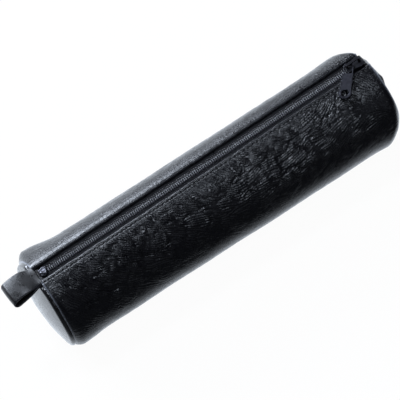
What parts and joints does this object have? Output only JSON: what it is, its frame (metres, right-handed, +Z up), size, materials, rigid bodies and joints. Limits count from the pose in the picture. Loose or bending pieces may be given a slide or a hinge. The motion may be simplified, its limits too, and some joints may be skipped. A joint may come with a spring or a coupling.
{
  "type": "pen pouch",
  "caption": "Cylindrical zipped leather pen pouch with round ends, a coil zip along the top and a folded strap loop at each end of the zip.",
  "frame": {"origin": "on the resting plane, under the middle of the pouch", "axes": "+X along the pouch towards the end where the zip closes, +Z up through the zip, -Y the front"},
  "size_m": [0.2445, 0.0616, 0.0572],
  "materials": {
    "black_nappa": "soft black nappa with a low sheen and a fine pebble grain",
    "black_lining": "plain black woven lining",
    "black_zip_tape": "black woven polyester tape",
    "grey_nylon": "dark grey nylon monofilament",
    "grey_core": "dark filler cord",
    "gunmetal": "dark gunmetal plating, satin",
    "nickel": "nickel plated, satin"
  },
  "bodies": {
    "pouch": {"leather_body": "black_nappa", "body_lining": "black_lining", "left_end_panel": "black_nappa", "right_end_panel": "black_nappa", "left_end_lining": "black_lining", "right_end_lining": "black_lining", "front_tape_hem": "black_zip_tape", "back_tape_hem": "black_zip_tape", "front_top_stop": "nickel", "back_top_stop": "nickel", "bottom_stop": "nickel"},
    "slider": {"slider_body": "gunmetal"},
    "pull": {"zip_pull": "gunmetal"},
    "front_flap": {"front_tape": "black_zip_tape", "front_coil": "grey_nylon", "front_core_cord": "grey_core"},
    "back_flap": {"back_tape": "black_zip_tape", "back_coil": "grey_nylon", "back_core_cord": "grey_core"},
    "left_strap": {"left_loop": "black_nappa"},
    "right_strap": {"right_loop": "black_nappa"}
  },
  "joints": [
    {"name": "slider_travel", "type": "slide", "parent": "pouch", "child": "slider", "axis": [-0.9998, -0.0209, 0], "range_m": [0, 0.192]},
    {"name": "pull_lift", "type": "hinge", "parent": "slider", "child": "pull", "pos_m": [0.10067, 0.00211, 0.05581], "axis": [-0.757, 0.6534, 0], "range_deg": [0, 95]},
    {"name": "front_tape_fold", "type": "hinge", "parent": "pouch", "child": "front_flap", "pos_m": [0.00012, -0.00555, 0.05113], "axis": [-0.9998, -0.0209, 0], "range_deg": [0, 80], "deforming": ["front_tape", "front_coil", "front_core_cord"]},
    {"name": "back_tape_fold", "type": "hinge", "parent": "pouch", "child": "back_flap", "pos_m": [-0.00012, 0.00555, 0.05113], "axis": [0.9998, 0.0209, 0], "range_deg": [0, 80], "deforming": ["back_tape", "back_coil", "back_core_cord"]},
    {"name": "left_loop_flex", "type": "hinge", "parent": "pouch", "child": "left_strap", "pos_m": [-0.11223, -0.00235, 0.05335], "axis": [-0.0209, 0.9998, 0], "range_deg": [-45, 60], "stiffness_Nm_per_rad": 0.006},
    {"name": "right_loop_swing", "type": "hinge", "parent": "pouch", "child": "right_strap", "pos_m": [0.11223, 0.00235, 0.05335], "axis": [0.0209, -0.9998, 0], "range_deg": [0, 90]}
  ],
  "couplings": [
    {"joint": "front_tape_fold", "follows": "slider_travel", "rad_per_m": 7.27},
    {"joint": "back_tape_fold", "follows": "slider_travel", "rad_per_m": 7.27}
  ]
}
